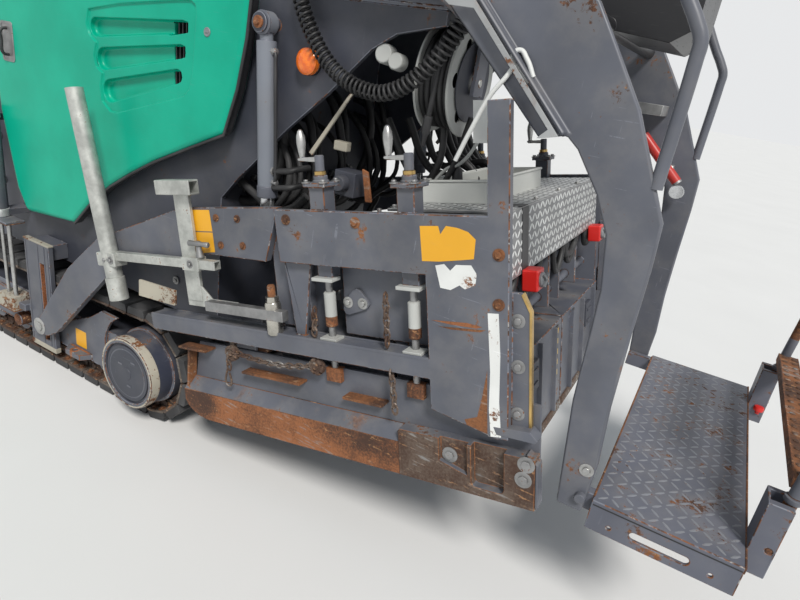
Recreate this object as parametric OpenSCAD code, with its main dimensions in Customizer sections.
// Compact tracked asphalt paver with a raised extending screed.
// X runs forward, Y to the left, Z up; the origin is on the ground below the middle.

/* [Tracks] */
// Outer face of each track from the centre plane
track_out = 600; // [560:5:620]
// Width of a track shoe
track_w = 200; // [160:5:200]
// Place of the rear sprocket along the machine
sprocket_x = 8; // [-20:2:40]
// Radius of the track over its pads at the sprocket
sprocket_r = 267; // [250:1:275]
// Place of the front idler along the machine
idler_x = 1480; // [1400:10:1520]
// Radius of the track over its pads at the idler
idler_r = 240; // [225:1:250]
// Height of a rubber pad
pad_h = 42; // [25:1:50]
// Thickness of the shoe plates and the chain under them
belt_t = 45; // [30:1:55]
// Number of shoes on one track
shoe_n = 36; // [30:1:40]
// Radius of the drive drum that stands out of the sprocket
drum_r = 165; // [120:1:170]
// Outer face of the drive drum from the centre plane
drum_out = 700; // [660:5:705]

/* [Chassis] */
// Half width of the conveyor tunnel inside
tunnel_in = 262; // [230:2:270]
// Thickness of the tunnel walls
tunnel_t = 18; // [10:1:25]
// Rear end of the chassis
chassis_rear = -350; // [-380:5:-300]
// Front end of the tunnel and hopper floor
chassis_front = 2230; // [2150:10:2240]
// Underside of the chassis
belly_z = 170; // [150:5:190]
// Top of the tunnel and floor of the engine bay
deck_z = 560; // [550:5:575]
// Outer face of the engine bay walls from the centre plane
bay_out = 520; // [505:5:525]
// Thickness of the engine bay walls
bay_t = 20; // [10:1:25]
// Top of the engine bay walls
bay_top = 1850; // [1800:10:1860]
// Front wall of the engine bay
bay_front = 1150; // [1100:10:1155]

/* [Hood] */
// Outer face of the side panels
panel_out = 600; // [585:5:610]
// Thickness of a side panel
panel_t = 62; // [40:2:62]
// Top of the hood lid
hood_top_z = 1970; // [1950:10:1990]
// Rear edge of the hood lid
lid_rear = -468; // [-480:1:-460]

/* [Operator station] */
// Floor of the control deck
floor_z = 1880; // [1872:1:1890]
// Rear end of the control deck
floor_rear = -1330; // [-1350:10:-1300]
// Underside of the seat box
seat_z = 1857; // [1840:1:1880]
// Top of the handrails
rail_top = 2420; // [2350:10:2450]
// Radius of the handrails
rail_r = 16; // [12:1:21]

/* [Rear frame] */
// Outer face of the stringers and the walkway
stringer_out = 623; // [615:1:630]
// Thickness of a stringer
stringer_t = 25; // [15:1:28]
// Top of the walkway plate
walk_z = 620; // [600:5:640]
// Depth of the walkway along the machine
walk_d = 404; // [350:2:410]
// Length of the folding ladder
ladder_l = 560; // [400:10:600]

/* [Hopper] */
// Distance of a wing hinge from the centre plane
wing_y = 300; // [296:1:310]
// Height of the wing hinges
wing_z = 600; // [595:1:615]
// Angle through which a wing folds, in degrees
wing_fold = 55; // [45:1:58]
// Rear edge of the wings
wing_rear = 1195; // [1190:5:1250]
// Front edge of the wings
wing_front = 2225; // [2100:5:2230]

/* [Feed] */
// Radius of an auger over its flights
auger_r = 130; // [90:5:140]
// Place of the auger shaft along the machine
auger_x = -560; // [-580:5:-540]
// Height of the auger shaft
auger_z = 230; // [210:5:260]

/* [Screed] */
// Place of the tow point along the machine
tow_x = 700; // [680:5:720]
// Height of the tow point
tow_z = 241; // [230:1:260]
// Angle through which the screed is lifted, in degrees
lift = 12.49; // [11:0.01:13]
// Half width of the main screed
screed_half = 600; // [560:5:602]
// Front of the main screed
screed_front = -810; // [-830:5:-800]
// Rear of the main screed
screed_rear = -1290; // [-1300:5:-1270]
// Rear of the extending screeds
ext_rear = -1700; // [-1710:5:-1650]
// Travel of each extending screed
ext_travel = 500; // [300:10:500]
// Reach of the side beams and end gates beyond the main screed
gate_reach = 100; // [96:1:110]
// Thickness of the side beams
beam_t = 28; // [20:1:28]
// Travel of an end gate
gate_travel = 35; // [20:1:38]
// Reach of the tow arms beyond the main screed
arm_reach = 66; // [60:1:67]
// Thickness of the tow arms
arm_t = 30; // [20:1:30]

/* [Hidden] */
$fn = 48;

slate = [0.36, 0.38, 0.44];
teal = [0.0, 0.58, 0.46];
dark = [0.1, 0.1, 0.11];
steel = [0.62, 0.62, 0.62];
rusty = [0.45, 0.3, 0.2];
gap = 0.3;
gate_out = screed_half + gate_reach;
arm_out = screed_half + arm_reach;

// Plate with an outline in the X-Z plane, from y0 outwards
module plate(pts, y0, t) {
    translate([0, y0 + t, 0]) rotate([90, 0, 0]) linear_extrude(t) polygon(pts);
}
// Box between two corners
module block(a, b) {
    translate(a) cube(b - a);
}
// Round bar along Y between two faces
module bar_y(x, z, y0, y1, r) {
    translate([x, y0, z]) rotate([-90, 0, 0]) cylinder(r = r, h = y1 - y0);
}
// Round bar along X between two ends
module bar_x(x0, x1, y, z, r) {
    translate([x0, y, z]) rotate([0, 90, 0]) cylinder(r = r, h = x1 - x0);
}
// Round rod between two points
module rod(p, q, r) {
    d = q - p;
    l = norm(d);
    translate(p) rotate([0, acos(d[2] / l), atan2(d[1], d[0])]) cylinder(r = r, h = l);
}
// Bent tube through a list of points
module tube(pts, r) {
    for (i = [0 : len(pts) - 2]) rod(pts[i], pts[i + 1], r);
    for (i = [1 : len(pts) - 2]) translate(pts[i]) sphere(r = r + 0.6, $fn = 24);
}
module both_sides() {
    children();
    mirror([0, 1, 0]) children();
}
// Turns the level screed up about its tow point, as it is carried on the road
module raised() {
    translate([tow_x, 0, tow_z]) rotate([0, lift, 0]) translate([-tow_x, 0, -tow_z]) children();
}

// Tracks: tangent line and arc lengths of the loop under the pads
spr_base = sprocket_r - pad_h;
idl_base = idler_r - pad_h;
line_dx = idler_x - sprocket_x;
line_dz = idler_r - sprocket_r;
line_b = atan2(line_dz, line_dx);
front_arc = (180 + 2 * line_b) * PI / 180 * idl_base;
rear_arc = (180 - 2 * line_b) * PI / 180 * spr_base;
loop_l = 2 * line_dx + front_arc + rear_arc;
pitch = loop_l / shoe_n;
top_a = 90 + 2 * line_b;
track_in = track_out - track_w;

// Place and outward angle of a point at run s of the loop: [x, z, angle]
function on_loop(s) =
    s < line_dx ? [sprocket_x + s, pad_h, -90] :
    s < line_dx + front_arc ? arc_pt(idler_x, idler_r, idl_base, -90 + (s - line_dx) / idl_base * 180 / PI) :
    s < 2 * line_dx + front_arc ? top_pt(s - line_dx - front_arc) :
    arc_pt(sprocket_x, sprocket_r, spr_base, top_a + (s - 2 * line_dx - front_arc) / spr_base * 180 / PI);
function arc_pt(cx, cz, r, a) = [cx + r * cos(a), cz + r * sin(a), a];
function top_pt(t) = [idler_x + idl_base * cos(top_a) - t * sin(top_a),
    idler_r + idl_base * sin(top_a) + t * cos(top_a), top_a];

// Point at run s of the loop, moved outwards by u
function run_pt(s, u) = let (p = on_loop(s)) [p[0] + u * cos(p[2]), p[1] + u * sin(p[2])];
// Point on shoe i: u outwards and v along the loop from the middle of the shoe
function shoe_pt(i, u, v) = let (p = on_loop((i + 0.5) * pitch))
    [p[0] + u * cos(p[2]) - v * sin(p[2]), p[1] + u * sin(p[2]) + v * cos(p[2])];
shoe_v = pitch * 0.46;
shoe_edge = [[0, -shoe_v], [pad_h * 0.4, -shoe_v], [pad_h, -pitch * 0.4], [pad_h, pitch * 0.4],
    [pad_h * 0.4, shoe_v], [0, shoe_v]];
module track() {
    inner_n = 4 * shoe_n;
    translate([0, track_out, 0]) rotate([90, 0, 0]) linear_extrude(track_w) difference() {
        intersection() {
            polygon([for (i = [0 : shoe_n - 1], e = shoe_edge) shoe_pt(i, e[0], e[1])]);
            translate([sprocket_x - 400, 0]) square([idler_x + 800, 700]);
        }
        polygon([for (i = [0 : inner_n - 1]) run_pt((i + 0.5) * loop_l / inner_n, -belt_t)]);
    }
}
module tracks() {
    color(dark) both_sides() track();
}

// Tie-down eye on each crawler frame
eye_r = 13;
eye_at = [505, track_out + eye_r + 3, 150];
roller_r = 60;
roller_z = pad_h + belt_t + roller_r + gap;
module crawler_frame() {
    frame_out = track_out - 10;
    wheel_in = track_in + 60;
    wheel_gap = 1.5;
    spr_in = spr_base - belt_t - wheel_gap;
    idl_in = idl_base - belt_t - wheel_gap;
    roller_x0 = 330;
    roller_step = 225;
    // The plate leaves an arch for the drum: [middle x, middle z, radius]
    arch = [115, 262, 192];
    plate(concat([for (a = [60 : -17 : -42]) [arch[0] + arch[2] * cos(a), arch[1] + arch[2] * sin(a)]],
        [[361, 126], [770, 136], [1250, 136], [1495, 195], [1495, 275], [1200, 300], [640, 262], [415, 365],
        [320, 430]]), frame_out - 15, 15);
    block([180, track_in + 40, 190], [1300, frame_out - 15, 330]);
    for (i = [0 : 4]) bar_y(roller_x0 + i * roller_step, roller_z, wheel_in, frame_out - 15, roller_r);
    bar_y(750, 372, wheel_in, frame_out - 15, 42);
    bar_y(sprocket_x, sprocket_r, wheel_in, frame_out, spr_in);
    bar_y(idler_x, idler_r, wheel_in, frame_out - 15, idl_in);
    difference() {
        bar_y(sprocket_x, sprocket_r, frame_out - 1, drum_out, drum_r);
        bar_y(sprocket_x, sprocket_r, drum_out - 12, drum_out + 1, drum_r - 22);
    }
    bar_y(sprocket_x, sprocket_r, drum_out - 14, drum_out - 4, drum_r - 40);
    for (x = [350, 1150]) block([x, tunnel_in + tunnel_t, 200], [x + 160, track_in + 60, 310]);
    tongue_t = 30;
    translate([0, 0, eye_at[2] - tongue_t / 2]) difference() {
        linear_extrude(tongue_t) polygon([[eye_at[0] - 95, frame_out - 1], [eye_at[0] + 75, frame_out - 1],
            [eye_at[0] + 45, eye_at[1] + 22], [eye_at[0] - 65, eye_at[1] + 22]]);
        translate([eye_at[0], eye_at[1], -1]) cylinder(r = eye_r, h = tongue_t + 2);
    }
}
module crawler_frames() {
    color(slate) both_sides() crawler_frame();
}

module chassis() {
    wall_out = tunnel_in + tunnel_t;
    color(slate) {
        both_sides() block([chassis_rear, tunnel_in, belly_z], [chassis_front, wall_out, deck_z]);
        block([chassis_rear, -tunnel_in, belly_z], [chassis_front, tunnel_in, belly_z + 15]);
        block([conv_rear + conv_r, -tunnel_in, 425], [conv_front - conv_r, tunnel_in, 437]);
        both_sides() for (x = [wing_rear + 60, 1700, wing_front - 100])
            difference() {
                block([x, wall_out - tunnel_t, deck_z - 60], [x + 40, wing_y + 25, wing_z + 25]);
                bar_x(x - 1, x + 41, wing_y, wing_z, hinge_r + 0.5);
            }
        both_sides() for (x = eye_x) difference() {
            block([x, wall_out - 1, wing_base[1] - 30], [x + 14, wing_base[0] + 24, wing_base[1] + 30]);
            bar_x(x - 1, x + 15, wing_base[0], wing_base[1], eye_pin + 0.5);
        }
        both_sides() difference() {
            block([chassis_front - 30, tunnel_in, apron_z - 30], [apron_x + 24, wall_out, apron_z + 22]);
            bar_y(apron_x, apron_z, tunnel_in - 1, wall_out + 1, 9.5);
        }
    }
}

// Rear edge of the bay wall, from its foot up to the control deck: [x, z]
bay_edge = [[-330, 1100], [-418, 1202], [-639, 1426], [-795, 1566], [-947, 1721], [-1028, 1773],
    [-1185, 1810]];
module engine_bay() {
    wall = concat([[bay_front, deck_z], [bay_front, bay_top], [-1185, bay_top]],
        [for (i = [len(bay_edge) - 1 : -1 : 0]) bay_edge[i]], [[-330, deck_z]]);
    color(slate) {
        both_sides() plate(wall, bay_out - bay_t, bay_t);
        block([-330, -bay_out, deck_z], [bay_front, bay_out, deck_z + 15]);
        block([-345, -bay_out, deck_z], [-330, bay_out, 1790]);
        difference() {
            block([bay_front, -bay_out, deck_z], [bay_front + 15, bay_out, bay_top]);
            block([bay_front - 1, -400, 1100], [bay_front + 16, 400, 1720]);
        }
        both_sides() for (x = [-400, 600])
            block([x, bay_out - bay_t, bay_top - 1], [x + 60, bay_out, bay_top + lid_gap - gap]);
        both_sides() difference() {
            block([bay_front + 10, 281, bay_top - 20], [lid_x + 12, 301, lid_z + 12]);
            bar_y(lid_x, lid_z, 280, 302, lid_pin + 0.4);
        }
        both_sides() {
            bar_y(lift_p[0], lift_p[2], bay_out - 1, lift_y + 36, lift_pin);
            bar_y(lift_p[0], lift_p[2], lift_y + 24, lift_y + 36, lift_pin + 12);
        }
    }
}
module engine_block() {
    color([0.3, 0.3, 0.3]) {
        block([250, -260, 640], [900, 260, 1290]);
        for (x = [300, 800], y = [-200, 160]) block([x, y, deck_z + 15], [x + 50, y + 40, 641]);
    }
}
panel_front = 985;
panel_edge = [[909, 884], [panel_front, 1230], [panel_front, 1838], [-522, 1838], [-509, 1697], [-476, 1533],
    [-420, 1370], [-259, 1296], [-51, 1198], [220, 1040], [353, 938], [479, 814], [848, 779]];
// Air openings: [rear x, z of the lower rear corner, height]
vents = [[-239, 1683, 38], [-227, 1600, 42], [-207, 1516, 43]];
vent_front = -132;
module side_panel() {
    difference() {
        union() {
            plate(panel_edge, panel_out - panel_t, panel_t);
            for (x = [-300, 300, 900], z = [1500, 1750])
                bar_y(x, z, bay_out + gap, panel_out - panel_t + 1, 25);
        }
        for (v = vents) plate([[v[0], v[1]], [v[0], v[1] + v[2]], [vent_front, v[1] + v[2] - 5],
            [vent_front, v[1] - 11]], panel_out - 30, 31);
    }
}
module side_panels() {
    color(teal) both_sides() side_panel();
}
lid_x = bay_front + 22;
lid_z = bay_top + 12;
lid_gap = 8;
lid_pin = 8;
module hood_lid() {
    round_r = 55;
    lid_foot = bay_top + lid_gap;
    color(teal) both_sides() {
        block([bay_front - 1, 302, lid_foot], [lid_x + 12, 320, lid_z + 12]);
        bar_y(lid_x, lid_z, 279, 303, lid_pin);
    }
    color(teal) difference() {
        translate([lid_rear, 0, 0]) rotate([90, 0, 90]) linear_extrude(bay_front - lid_rear) {
            translate([-bay_out, lid_foot]) square([2 * bay_out, hood_top_z - round_r - lid_foot]);
            translate([round_r - bay_out, lid_foot])
                square([2 * bay_out - 2 * round_r, hood_top_z - lid_foot]);
            for (s = [-1, 1]) translate([s * (bay_out - round_r), hood_top_z - round_r]) circle(r = round_r);
        }
        block([lid_rear + 20, 25 - bay_out, bay_top - 1], [bay_front - 20, bay_out - 25, hood_top_z - 20]);
    }
}
module hood_grille() {
    color(dark) {
        difference() {
            block([bay_front + 15 + gap, -420, 1080], [bay_front + 35, 420, 1740]);
            block([bay_front, -395, 1105], [bay_front + 40, 395, 1715]);
        }
        for (i = [0 : 10])
            translate([bay_front + 17, -396, 1125 + i * 55]) rotate([0, 35, 0]) cube([6, 792, 34]);
    }
}
module control_deck() {
    rear = floor_rear;
    color(slate) {
        block([rear, -bay_out, floor_z - 20], [-478, bay_out, floor_z]);
        both_sides() {
            difference() {
                block([rear, bay_out - 15, floor_z - 20], [-478, bay_out, hood_top_z]);
                block([-1140, bay_out - 16, floor_z + 5], [-880, bay_out + 1, floor_z + 22]);
            }
            block([rear, bay_out - 1, 1905], [-740, stringer_out - stringer_t - gap, 1925]);
            block([-1180, bay_out - bay_t, bay_top + gap], [-478, bay_out - 1, floor_z - 19]);
        }
        block([-493, -bay_out, floor_z], [-478, bay_out, hood_top_z]);
        block([cable[0][0] - 32, bay_out - 1, cable_top], [cable[0][0] + 32, 592, cable_top + 45]);
        block([cable_end - 32, bay_out - 1, floor_z], [cable_end + 32, 590, floor_z + 40]);
        for (x = [reel_x0 - 30, reel_x1 + 16]) difference() {
            block([x, reel_y - 35, reel_z - 40], [x + 14, reel_y + 35, floor_z - 19]);
            bar_x(x - 1, x + 15, reel_y, reel_z, 12.5);
        }
    }
}
module console() {
    color(dark) {
        block([-640, -60, floor_z + gap], [-560, 60, 2211]);
        plate([[-500, 2210], [-500, 2270], [-620, 2390], [-780, 2260], [-780, 2210]], -330, 660);
        translate([-740, 180, 2280]) cylinder(r1 = 22, r2 = 14, h = 90);
    }
}
seat_top = 2100;
module seat() {
    color(dark) {
        plate([[-1480, seat_z + 25], [-1480, seat_top], [-1800, seat_top], [-1800, 1900], [-1740, seat_z]],
            -235, 470);
        bar_y(-1560, seat_z + 25, -stringer_out + stringer_t + gap, stringer_out - stringer_t - gap, 25);
    }
}
module seat_cushions() {
    color([0.13, 0.13, 0.14]) {
        block([-1770, -230, seat_top + gap], [-1470, 230, seat_top + 95]);
        plate([[-1775, seat_top + gap], [-1860, 2600], [-1790, 2600], [-1700, seat_top + 94]], -220, 440);
    }
}
module exhaust() {
    color(steel) {
        translate([-545, -430, floor_z + gap]) cylinder(r = 38, h = 420);
        translate([-545, -430, floor_z + 410]) rotate([0, -35, 0]) cylinder(r = 34, h = 90);
    }
}

// Outline of a stringer: the rear edge upwards, then the front edge down again
stringer_edge = [[-1925, 560], [-1929, 735], [-1914, 912], [-1907, 1124], [-1904, 1304], [-1897, 1431],
    [-1772, 1678], [-1682, 1808], [-1618, 1898], [-1450, 1990], [-1100, 2010], [-700, 2010],
    [-700, 1900], [-1080, 1900], [-1206, 1863], [-1323, 1791], [-1452, 1711], [-1571, 1625],
    [-1652, 1562], [-1726, 1464], [-1774, 1372], [-1800, 1230], [-1805, 1115], [-1812, 899],
    [-1827, 771], [-1850, 560]];
// Diagonal stiffener on the outside of a stringer, with a flange along its rear edge
brace_edge = [[-1224, 1868], [-1318, 1876], [-1612, 1588], [-1552, 1572]];
brace_reach = 32;
module stringers() {
    color(slate) both_sides() {
        plate(stringer_edge, stringer_out - stringer_t, stringer_t);
        plate(brace_edge, stringer_out - 1, 9);
        plate([brace_edge[1], brace_edge[1] - [9, -9], brace_edge[2] - [9, -9], brace_edge[2]],
            stringer_out - 1, brace_reach);
    }
}
module handrails() {
    y = stringer_out - stringer_t / 2;
    path = [[-1856, y, 1440], [-1856, y, 1835], [-1801, y, 1922], [-1697, y, 2090], [-1500, y, rail_top],
        [-1000, y, rail_top], [-940, y, rail_top - 60], [-940, y, 2010 + gap]];
    color(steel) both_sides() difference() {
        tube(path, rail_r);
        plate([for (p = stringer_edge) p - [gap, 0]], y - 40, 80);
    }
}
walk_x1 = -1945;
walk_x0 = walk_x1 - walk_d;
ladder_x = -2395;
ladder_z = 640;
rail_y = 490;
// Top of the sockets that hold the ladder, and the radius of the hand hole's ends
socket_top = walk_z + 160;
slot_r = 13;
module walkway() {
    color(slate) {
        block([walk_x0, -stringer_out, walk_z - 12], [walk_x1, stringer_out, walk_z]);
        both_sides() {
            difference() {
                block([walk_x0, stringer_out - 12, walk_z - 100], [walk_x1, stringer_out, walk_z - 11]);
                for (x = [-2213, -2078]) bar_y(x, 559, stringer_out - 20, stringer_out + 1, slot_r);
                block([-2213, stringer_out - 20, 559 - slot_r], [-2078, stringer_out + 1, 559 + slot_r]);
                for (x = [-2282, -2009]) bar_y(x, 551, stringer_out - 20, stringer_out + 1, 6);
            }
            block([walk_x1 - 30, stringer_out - 60, walk_z - 60], [-1845, stringer_out - stringer_t - gap, walk_z]);
            difference() {
                block([-2412, rail_y + 23, walk_z - 70], [walk_x0 + 1, rail_y + 48, socket_top]);
                bar_y(ladder_x, ladder_z, rail_y + 22, rail_y + 49, 9);
            }
            block([-2412, rail_y - 46, walk_z - 70], [walk_x0 + 1, rail_y - 27, socket_top]);
            block([walk_x0 - 6, rail_y - 28, walk_z - 12], [walk_x0 + 1, rail_y + 24, socket_top]);
        }
    }
}
module ladder() {
    top_x = ladder_x - 36;
    color(rusty) {
        both_sides() {
            rod([ladder_x, rail_y, ladder_z + 12], [top_x, rail_y, ladder_z + ladder_l], 17);
            bar_y(ladder_x, ladder_z, rail_y - 20, rail_y + 48, 8.5);
            bar_y(ladder_x, ladder_z, rail_y - 20, rail_y + 12, 22);
        }
        for (h = [180, 430])
            block([ladder_x - 55, -rail_y, ladder_z + h], [ladder_x + 10, rail_y, ladder_z + h + 30]);
        bar_y(top_x, ladder_z + ladder_l - 15, -rail_y, rail_y, 17);
    }
}
module side_fittings() {
    inner = stringer_out - stringer_t - gap;
    color(steel) block([-1700, -inner, 1652], [-1555, -400, 1692]);
    color("red") rod([-1640, -545, 1568], [-1824, -545, 1404], 20);
    color(dark) block([-1790, -inner, 1440], [-1760, -540, 1470]);
}

// Levelling cylinder of a tow point: tube, foot plate, two thin rods and their carrier on the crawler
level_x = 985;
level_y = 652;
level_r = 44;
level_z = [334, 722, 1250];
module levelling_cylinder() {
    translate([level_x, level_y, level_z[1]]) cylinder(r = level_r, h = level_z[2] - level_z[1]);
    block([850, level_y - level_r, level_z[1]], [1040, level_y + level_r, level_z[1] + 12]);
    translate([level_x - 14, level_y, level_z[0] - 10]) cylinder(r = 8, h = level_z[1] - level_z[0] + 11);
    translate([908, level_y, level_z[0] - 10]) cylinder(r = 10, h = level_z[1] - level_z[0] + 11);
    block([885, track_out - 10 + gap, 262], [1010, level_y + 30, level_z[0]]);
    bar_y(930, 190, track_out - 10 + gap, 645, 34);
    block([level_x - 40, bay_out + gap, 740], [level_x + 30, level_y, 768]);
    block([panel_front + 8, bay_out + gap, 1180], [panel_front + 40, level_y, 1210]);
}

tow_pin = 19;
module tow_guides() {
    inner = track_out + 6;
    outer = arm_out - arm_t - 6;
    color(slate) both_sides() {
        difference() {
            block([640, inner, 95], [835, outer, 660]);
            block([tow_x - tow_pin - gap, inner - 1, 150], [tow_x + tow_pin + gap, outer + 1, 560]);
        }
        block([660, bay_out + gap, 580], [820, inner + 1, 655]);
        levelling_cylinder();
        block([834, inner, 270], [920, 655, 305]);
    }
}

conv_rear = -310;
conv_front = 2130;
conv_z = 385;
conv_r = 80;
module conveyor() {
    slat_n = 12;
    color(rusty) {
        both_sides() translate([0, 225, 0]) rotate([90, 0, 0]) linear_extrude(35) difference() {
            conv_loop(conv_r);
            conv_loop(conv_r - 18);
        }
        for (i = [0 : slat_n - 1], s = [-1, 1]) {
            x = conv_rear + (i + 0.5) * (conv_front - conv_rear) / slat_n;
            block([x - 20, -205, conv_z + s * (conv_r - 9) - 9], [x + 20, 205, conv_z + s * (conv_r - 9) + 9]);
        }
        for (x = [conv_rear, conv_front]) {
            bar_y(x, conv_z, -tunnel_in + gap, tunnel_in - gap, 25);
            for (y = [-215, 200]) bar_y(x, conv_z, y, y + 15, conv_r - 18 - gap);
        }
    }
}
module conv_loop(r) {
    for (x = [conv_rear, conv_front]) translate([x, conv_z]) circle(r = r);
    translate([conv_rear, conv_z - r]) square([conv_front - conv_rear, 2 * r]);
}

shaft_r = 27;
module auger_carrier() {
    wall_out = tunnel_in + tunnel_t;
    color(slate) {
        difference() {
            block([auger_x - 55, -42, auger_z - 70], [auger_x + 55, 42, auger_z + 330]);
            bar_y(auger_x, auger_z, -43, 43, 20);
        }
        block([auger_x + 50, -42, auger_z + 230], [chassis_rear + 5, 42, auger_z + 330]);
        block([chassis_rear - 30, -wall_out, auger_z + 230], [chassis_rear - gap, wall_out, auger_z + 330]);
    }
}
// Helical flight round a shaft: four corners a station, joined along the turn
module flight(r0, r1, t, len_y, turns, hand) {
    n = 16 * turns;
    pts = [for (i = [0 : n]) let (a = hand * i * 360 * turns / n, y = i * (len_y - t) / n)
        each [[r0 * cos(a), y, r0 * sin(a)], [r1 * cos(a), y, r1 * sin(a)],
            [r1 * cos(a), y + t, r1 * sin(a)], [r0 * cos(a), y + t, r0 * sin(a)]]];
    sides = [for (i = [0 : n - 1], k = [0 : 3]) let (a = 4 * i + k, b = 4 * i + (k + 1) % 4)
        each [[a, b, b + 4], [a, b + 4, a + 4]]];
    ends = [[3, 2, 1], [3, 1, 0], [4 * n, 4 * n + 1, 4 * n + 2], [4 * n, 4 * n + 2, 4 * n + 3]];
    flip = hand > 0 ? 1 : 0;
    faces = [for (f = concat(sides, ends)) flip ? [f[2], f[1], f[0]] : f];
    polyhedron(points = pts, faces = faces);
}
module auger(hand) {
    y0 = 48;
    y1 = 570;
    bar_y(auger_x, auger_z, y0, y1, shaft_r);
    bar_y(auger_x, auger_z, 1, y0 + 1, 19.5);
    translate([auger_x, y0 + 12, auger_z]) flight(shaft_r - 4, auger_r, 14, y1 - y0 - 24, 2.5, hand);
}
module auger_left() {
    color(rusty) auger(1);
}
module auger_right() {
    color(rusty) mirror([0, 1, 0]) auger(1);
}

roller_x = 2390;
push_z = 365;
push_r = 60;
// Upright bore for a towing pin
tow_bore_r = 16;
module push_bar() {
    color(slate) {
        difference() {
            block([chassis_front + 20, -430, 300], [chassis_front + 88, 430, 430]);
            translate([chassis_front + 54, 0, 299]) cylinder(r = tow_bore_r, h = 132);
        }
        both_sides() {
            block([chassis_front - 60, tunnel_in + tunnel_t + gap, 300],
                [chassis_front + 21, tunnel_in + tunnel_t + 25, 430]);
            for (y = [32, 408]) difference() {
                block([chassis_front + 87, y, push_z - 30], [roller_x + 28, y + 16, push_z + 30]);
                bar_y(roller_x, push_z, y - 1, y + 17, 15);
            }
        }
    }
}
module push_roller() {
    bar_y(roller_x, push_z, 54, 402, push_r);
    bar_y(roller_x, push_z, 30, 426, 14.5);
}
module push_roller_left() {
    color(steel) push_roller();
}
module push_roller_right() {
    color(steel) mirror([0, 1, 0]) push_roller();
}

module amber_lamps() {
    color("orange") both_sides() bar_y(-725, 1657, bay_out + gap, bay_out + 32, 41);
}
module head_lamps() {
    color("white") both_sides() bar_x(bay_front + 15 + gap, bay_front + 55, 460, 1785, 45);
}
// Hoses that loop out of the rear bay: [y, top z, bottom z, reach, sway, r]
hose_runs = [[-390, 1560, 1020, 150, 40, 16], [-320, 1500, 900, 190, -30, 14], [-235, 1590, 1080, 170, 60, 18],
    [-150, 1470, 960, 210, -50, 14], [-60, 1545, 1040, 160, 70, 16], [70, 1590, 930, 200, -60, 18],
    [170, 1490, 1060, 180, 30, 14], [250, 1560, 980, 220, 50, 16], [380, 1500, 900, 170, -40, 14],
    [430, 1620, 1100, 190, -20, 18]];
module bay_hoses() {
    wall_x = -345 - gap;
    color(dark) for (h = hose_runs)
        swept(concat([[wall_x, h[0], h[1]]], [for (a = [0 : 15 : 180]) [wall_x - 12 - h[3] * sin(a),
            h[0] + h[4] * (1 - cos(a)) / 2, (h[1] + h[2]) / 2 + (h[1] - h[2]) / 2 * cos(a)]],
            [[wall_x, h[0] + h[4], h[2]]]), h[5], 10);
}

// Curly control cable: route of its middle, hung between two sockets
cable_r = 27;
cable_top = 1930;
cable_end = -1262;
cable = [[-680, 560, cable_top], [-680, 560, 1880], [-702, 562, 1815], [-748, 564, 1745], [-803, 566, 1683],
    [-870, 567, 1635], [-950, 568, 1608], [-1035, 568, 1606], [-1110, 567, 1640], [-1170, 566, 1695],
    [-1216, 562, 1755], [-1250, 557, 1815], [cable_end, 555, 1850], [cable_end, 555, floor_z]];
function unit(v) = v / norm(v);
function ring(p, d, r, n) = let (u = unit(cross(d, [0, 1, 0.01])), v = cross(unit(d), u))
    [for (k = [0 : n - 1]) p + r * cos(360 * k / n) * u + r * sin(360 * k / n) * v];
module swept(pts, r, n) {
    m = len(pts);
    rings = [for (i = [0 : m - 1])
        each ring(pts[i], pts[min(i + 1, m - 1)] - pts[max(i - 1, 0)], r, n)];
    sides = [for (i = [0 : m - 2], k = [0 : n - 1]) let (a = i * n + k, b = i * n + (k + 1) % n)
        each [[a, b, b + n], [a, b + n, a + n]]];
    polyhedron(points = rings, faces = concat(sides,
        [[for (k = [n - 1 : -1 : 0]) k], [for (k = [0 : n - 1]) (m - 1) * n + k]]));
}
module coil_cable() {
    color(dark) swept(cable, cable_r, 10);
}

// Hopper wing, open and measured from its hinge: [outwards, up]
wing_b = [520, 70];
wing_c = [950, 400];
wing_t = 16;
wing_eye = [330, -34];
hinge_r = 18;
// Places of the two lugs that hold a wing cylinder's eye, and their thickness
eye_x = [1840, 1950];
lug_t = 14;
eye_pin = 13.5;
// The rod's eye is the open pivot of this linkage: two stub pins stop beside it
stub = 2;
stub_head = 6;
eye_side = 8;
module wing_section() {
    polygon([[40, 0], wing_b, wing_c, wing_c + [-9, 13], wing_b + [-4, wing_t], [40, wing_t]]);
}
module wing() {
    translate([0, wing_y, wing_z]) rotate([wing_fold, 0, 0]) {
        translate([wing_rear, 0, 0]) rotate([90, 0, 90]) linear_extrude(wing_front - wing_rear)
            translate([0, 22]) wing_section();
        for (x = concat([wing_rear, 1420, 1610], eye_x, [wing_front - 14]))
            translate([x, 0, 0]) rotate([90, 0, 90]) linear_extrude(14)
                polygon([[-22, -22], [60, -22], [420, -2], [560, 50], [900, 340], wing_c + [0, 23],
                    wing_b + [0, 23], [41, 23], [-22, 22]]);
        bar_x(wing_rear, wing_front, 0, 0, hinge_r);
        for (x = eye_x) block([x, wing_eye[0] - 30, wing_eye[1] - 26], [x + lug_t, wing_eye[0] + 30, 0]);
        for (x = [eye_x[0] - stub_head, eye_x[1] - stub])
            bar_x(x, x + lug_t + stub_head + stub, wing_eye[0], wing_eye[1], eye_pin);
    }
}
module wing_left() {
    color(slate) wing();
}
module wing_right() {
    color(slate) mirror([0, 1, 0]) wing();
}

// Hopper wing cylinders: base on the chassis, eye on the wing: [y, z]
wing_base = [330, 300];
function turned(p, a) = [p[0] * cos(a) - p[1] * sin(a), p[0] * sin(a) + p[1] * cos(a)];
wing_tip = [wing_y, wing_z] + turned(wing_eye, wing_fold);
wing_p = [0, wing_base[0], wing_base[1]];
wing_q = [0, wing_tip[0], wing_tip[1]];
wing_mid = (eye_x[0] + eye_x[1] + lug_t) / 2;
wing_tube = 330;

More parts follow.
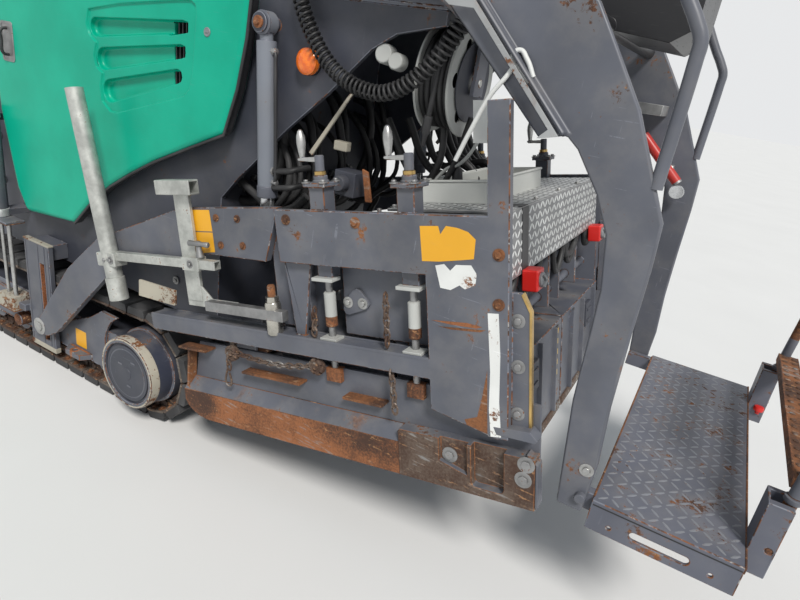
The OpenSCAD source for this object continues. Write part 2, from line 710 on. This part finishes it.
// Cylinder tube from its eye at p towards q, bored for the ram
module barrel(p, q, len, r, bore, start) {
    u = unit(q - p);
    difference() {
        rod(p + start * u, p + len * u, r);
        rod(p + (start + 40) * u, p + (len + 1) * u, bore);
    }
}
module ram(p, q, len, ins, r) {
    u = unit(q - p);
    rod(p + (len - ins) * u, q, r);
}
module wing_barrel() {
    translate([wing_mid, 0, 0]) barrel(wing_p, wing_q, wing_tube, 32, 17, 0);
    bar_x(eye_x[0] + 20, eye_x[1] - 6, wing_base[0], wing_base[1], 26);
    bar_x(eye_x[0], eye_x[1] + lug_t, wing_base[0], wing_base[1], eye_pin);
}
module wing_rod() {
    translate([wing_mid, 0, 0]) ram(wing_p, wing_q, wing_tube, 105, 16);
    bar_x(eye_x[0] + lug_t + eye_side, eye_x[1] - eye_side, wing_tip[0], wing_tip[1], 25);
}
module wing_barrel_left() {
    color(slate) wing_barrel();
}
module wing_barrel_right() {
    color(slate) mirror([0, 1, 0]) wing_barrel();
}
module wing_rod_left() {
    color(steel) wing_rod();
}
module wing_rod_right() {
    color(steel) mirror([0, 1, 0]) wing_rod();
}

apron_x = 2240;
apron_z = 475;
module apron() {
    wide = tunnel_in - 8;
    color(slate) {
        plate([[apron_x - 9, apron_z], [apron_x + 9, apron_z], [apron_x + 60, apron_z + 290],
            [apron_x + 46, apron_z + 290]], -wide, 2 * wide);
        bar_y(apron_x, apron_z, -wide, wide, 15);
        bar_y(apron_x, apron_z, -tunnel_in - 17, tunnel_in + 17, 9);
    }
}

reel_y = 340;
reel_z = 1672;
reel_r = 165;
reel_x0 = -1214;
reel_x1 = -1098;
hose_r = 10;
module reel() {
    color([0.75, 0.76, 0.74]) {
        for (x = [reel_x0, reel_x1 - 6]) difference() {
            bar_x(x, x + 6, reel_y, reel_z, reel_r);
            for (a = [0 : 60 : 300])
                bar_x(x - 1, x + 7, reel_y + 115 * cos(a), reel_z + 115 * sin(a), 22);
        }
        bar_x(reel_x0, reel_x1, reel_y, reel_z, 70);
        bar_x(reel_x0 - 32, reel_x1 + 32, reel_y, reel_z, 12);
    }
}
module reel_hose() {
    wide = reel_x1 - reel_x0 - 12 - 2 * gap;
    turns = 5;
    pitch_x = (wide - 2 * hose_r) / (turns - 1);
    color(dark) translate([reel_x0 + 6 + gap, reel_y, reel_z]) rotate([0, 90, 0]) difference() {
        rotate_extrude($fn = 64) {
            translate([60, hose_r]) square([82, wide - 2 * hose_r]);
            for (i = [0 : turns - 1]) translate([142, hose_r + i * pitch_x]) circle(r = hose_r, $fn = 24);
        }
        translate([0, 0, -1]) cylinder(r = 70 + gap, h = wide + 2);
    }
}

// Lift cylinders: eye on the engine bay, rod eye on the tow arm
lift_y = screed_half - 30;
lift_p = [-569, lift_y, 1751];
lift_arm = [-772, 740];
lift_pin = 19;
lift_tube = 560;
// The rod's eye is the open joint of the cylinder, so the arm's pin ends this far beside it
pin_gap = 5.5;
function raised_pt(x, z) = let (dx = x - tow_x, dz = z - tow_z)
    [tow_x + dx * cos(lift) + dz * sin(lift), lift_y, tow_z - dx * sin(lift) + dz * cos(lift)];
lift_q = raised_pt(lift_arm[0], lift_arm[1]);
lift_rod_r = 25;
module lift_barrel() {
    difference() {
        union() {
            barrel(lift_p, lift_q, lift_tube, 33, lift_rod_r + 1, 52);
            rod(lift_p, lift_p + 53 * unit(lift_q - lift_p), 22);
            bar_y(lift_p[0], lift_p[2], lift_y - 20, lift_y + 20, 37);
        }
        bar_y(lift_p[0], lift_p[2], lift_y - 50, lift_y + 50, lift_pin + 0.5);
    }
}
module lift_rod() {
    ram(lift_p, lift_q, lift_tube, 420, lift_rod_r);
    bar_y(lift_q[0], lift_q[2], lift_y - 18, lift_y + 18, 38);
}
module lift_barrel_left() {
    color(slate) lift_barrel();
}
module lift_barrel_right() {
    color(slate) mirror([0, 1, 0]) lift_barrel();
}
module lift_rod_left() {
    color(steel) lift_rod();
}
module lift_rod_right() {
    color(steel) mirror([0, 1, 0]) lift_rod();
}

// Side view of a tow arm with the screed level
arm_edge = [[785, 204], [368, 556], [103, 707], [-448, 851], [-917, 862], [-842, 672], [-579, 681],
    [-19, 611], [562, 223], [650, 196]];
arm_in = arm_out - arm_t;
module tow_arms() {
    foot = [[-850, 440], [-850, 820], [-1000, 760], [-1000, 440]];
    color(slate) raised() both_sides() {
        plate(arm_edge, arm_in, arm_t);
        bar_y(tow_x, tow_z, track_out + 8, arm_in + 1, tow_pin);
        plate(foot, screed_half, arm_in - screed_half);
        bar_y(lift_arm[0], lift_arm[1], lift_y + lift_rod_r + pin_gap, arm_in + 1, lift_pin + 8);
    }
}
sole_t = 14;
box_top = 400;
// Guide rods of the extending screeds, left side: [x, z]; the right side swaps the heights
rod_x = [-1335, -1620];
rod_z = [470, 560];
rod_r = 17;
module screed_main() {
    frame = [[-1281, box_top + 11], [-1281, 432], [-1665, 432], [-1665, deck_top - 10.3],
        [-1283, deck_top - 10.3], [-1283, 690], [-905, 690], [-905, box_top + 11]];
    color(slate) raised() {
        difference() {
            block([screed_rear, -screed_half, 0], [screed_front, screed_half, box_top + 12]);
            block([screed_rear + 15, 15 - screed_half, sole_t], [screed_front - 15, screed_half - 15, box_top]);
        }
        both_sides() {
            block([-1060, screed_half - 15, box_top], [-842, screed_half, 700]);
            for (y = [60, 320]) difference() {
                plate(frame, y, 16);
                for (x = rod_x, z = rod_z) bar_y(x, z, y - 1, y + 17, rod_r + 0.5);
            }
        }
        block([-1060, 1 - screed_half, 560], [-905, screed_half - 1, 700]);
        block([screed_front - 1, 40 - screed_half, 30], [screed_front + 30, screed_half - 40, 260]);
    }
}
deck_top = 855;
module screed_deck() {
    t = 10;
    wide = screed_half - 40;
    color([0.5, 0.5, 0.5]) raised() {
        block([-1690, -wide, deck_top - t], [screed_rear + 10, wide, deck_top]);
        block([-1690, -wide, 650], [-1690 + t, wide, deck_top]);
        block([-1282, -wide - 15, 700 + gap], [-880, wide + 15, 700 + t]);
        difference() {
            block([-1560, -150, deck_top + gap], [-1330, 420, deck_top + 70]);
            block([-1548, -138, deck_top + 12], [-1342, 408, deck_top + 71]);
        }
    }
}
// Spindle columns: width, inner face and crank height; room of the wall beside them, and its running gap
column_w = 58;
column_deep = 73;
crank_z = 1008;
wall_room = 14;
wall_clear = 5;
// One extending screed, with its guide rods at the heights zs
module extension(zs) {
    y0 = 8;
    difference() {
        block([ext_rear, y0, 0], [-1310, screed_half, 380]);
        block([ext_rear + 15, y0 + 15, sole_t], [-1325, screed_half - 15, 366]);
    }
    block([-1690, screed_half - 1, 40], [-1490, gate_out - 66, 375]);
    block([-1690, screed_half, 374], [-1490, gate_out - 66, 431]);
    block([-1690, screed_half, 430], [-1500, gate_out - beam_t - gap, 600]);
    block([-1360, screed_half - 40, 379], [-1311, screed_half, 600]);
    block([-1501, screed_half + wall_clear, 431], [-1125, gate_out - column_deep - wall_room - gap, 690]);
    for (i = [0, 1]) bar_y(rod_x[i], zs[i], 20 - ext_travel, screed_half - 5 + 10 * i, rod_r);
}
module extension_left() {
    color(slate) raised() extension(rod_z);
}
module extension_right() {
    color(slate) raised() mirror([0, 1, 0]) extension([rod_z[1], rod_z[0]]);
}
// Places of the two spindle columns of a side beam
column_x = [-1100, -1418];
spindle_y = gate_out - 44;
spindle_r = 12;
beam_in = gate_out - beam_t;
beam_back = gate_out - 42;
module side_beam() {
    corner = [[-930, 860], [-1700, 860], [-1706, 207], [-1487, 262], [-1482, 685], [-937, 685]];
    tail = [[-1690 - gap, 225], [-1795, 225], [-1790, 600], [-1765, 650], [-1690 - gap, 650]];
    plate(corner, beam_in, beam_t);
    plate(tail, beam_back, beam_in - beam_back);
    plate([[-930, 700], [-1047, 700], [-996, 424], [-956, 424]], beam_back, beam_in + 1 - beam_back);
    difference() {
        block([-1488, gate_out - 68, 360], [-222, gate_out, 425]);
        for (x = column_x) translate([x, spindle_y, 350]) cylinder(r = spindle_r + 0.5, h = 80);
    }
    block([-1735, beam_in, 211], [-1673, gate_out, 1152]);
    for (x = column_x) {
        difference() {
            union() {
                block([x - column_w / 2, gate_out - column_deep, 640], [x + column_w / 2, beam_in + 1, 932]);
                block([x - column_w / 2, gate_out - column_deep, 859], [x + column_w / 2, gate_out - 15, 932]);
                block([x - 42, spindle_y - 42, 931], [x + 42, spindle_y + 42, 945]);
            }
            translate([x, spindle_y, 639]) cylinder(r = spindle_r + 0.5, h = 55 + gate_travel);
        }
        translate([x, spindle_y, 944]) cylinder(r = 22, h = 22);
        translate([x, spindle_y, 965]) cylinder(r = 14, h = crank_z + 18 - 965);
        block([x - 8, spindle_y - 8, crank_z], [x + 74, spindle_y + 8, crank_z + 12]);
        translate([x + 66, spindle_y, crank_z + 8]) cylinder(r1 = 8, r2 = 14, h = 50);
        translate([x + 66, spindle_y, crank_z + 58]) cylinder(r1 = 14, r2 = 6, h = 39);
    }
}
module side_beam_left() {
    color(slate) raised() side_beam();
}
// Upright pipe of the sensor arm, outside the tow arm; the right side carries a spare of the same size
pipe_r = 33;
pipe_y = arm_out + pin_gap + pipe_r;
module side_beam_right() {
    color(slate) raised() mirror([0, 1, 0]) {
        side_beam();
        translate([-870, pipe_y, 425]) cylinder(r = pipe_r, h = 145);
        block([-895, gate_out - 40, 424], [-845, gate_out - 1, 440]);
    }
}
// Rounded front end of an end gate, from its sole up
gate_nose = [[-470, 0], [-425, 8], [-385, 28], [-360, 52], [-352, 72], [-356, 165]];
module end_gate() {
    runner = concat([[-1816, 0]], gate_nose, [[-1816, 165]]);
    skin = concat([[-1816, 0]], gate_nose, [[-430, 318], [-1816, 318]]);
    plate(skin, gate_out - 60, 12);
    difference() {
        plate(runner, gate_out - 49, 49);
        block([-1732, gate_out - 30, 58], [-1616, gate_out + 1, 140]);
    }
    for (x = column_x) {
        block([x - 30, gate_out - 59, 270], [x + 30, gate_out - 28, 318]);
        translate([x, spindle_y, 317]) cylinder(r = spindle_r, h = 360);
        translate([x, spindle_y, 470]) cylinder(r = 20, h = 130);
    }
}
module end_gate_left() {
    color(slate) raised() end_gate();
}
module end_gate_right() {
    color(slate) raised() mirror([0, 1, 0]) end_gate();
}
module sensor_mount() {
    inner = arm_out + pin_gap;
    bottom = [-40, pipe_y, 470];
    color(steel) raised() {
        rod(bottom, [7, pipe_y, 1302], pipe_r);
        difference() {
            block([-85, inner, 612], [22, pipe_y + 22, 665]);
            rod(bottom, [7, pipe_y, 1302], pipe_r - 0.1);
        }
        block([-620, gate_out - 12, 640], [-84, gate_out + 12, 664]);
        block([-640, gate_out - 20, 632], [-560, gate_out + 20, 672]);
        block([-520, inner, 476], [-440, gate_out - 11, 905]);
        block([-570, inner, 904], [-390, gate_out + 22, 955]);
        block([-934, gate_out - 22, 476], [-439, gate_out + 14, 512]);
        translate([-870, gate_out - 18, 425 + gap]) cylinder(r = 24, h = 130);
        translate([-870, gate_out - 18, 554]) cylinder(r = 12, h = 32);
    }
}

chassis();
engine_bay();
engine_block();
side_panels();
hood_lid();
hood_grille();
control_deck();
console();
seat();
seat_cushions();
exhaust();
stringers();
handrails();
walkway();
side_fittings();
tracks();
crawler_frames();
tow_guides();
conveyor();
auger_carrier();
push_bar();
amber_lamps();
head_lamps();
bay_hoses();
coil_cable();
wing_left();
wing_right();
wing_barrel_left();
wing_barrel_right();
wing_rod_left();
wing_rod_right();
apron();
push_roller_left();
push_roller_right();
auger_left();
auger_right();
reel();
reel_hose();
lift_barrel_left();
lift_barrel_right();
lift_rod_left();
lift_rod_right();
tow_arms();
screed_main();
screed_deck();
extension_left();
extension_right();
side_beam_left();
side_beam_right();
end_gate_left();
end_gate_right();
sensor_mount();
ladder();
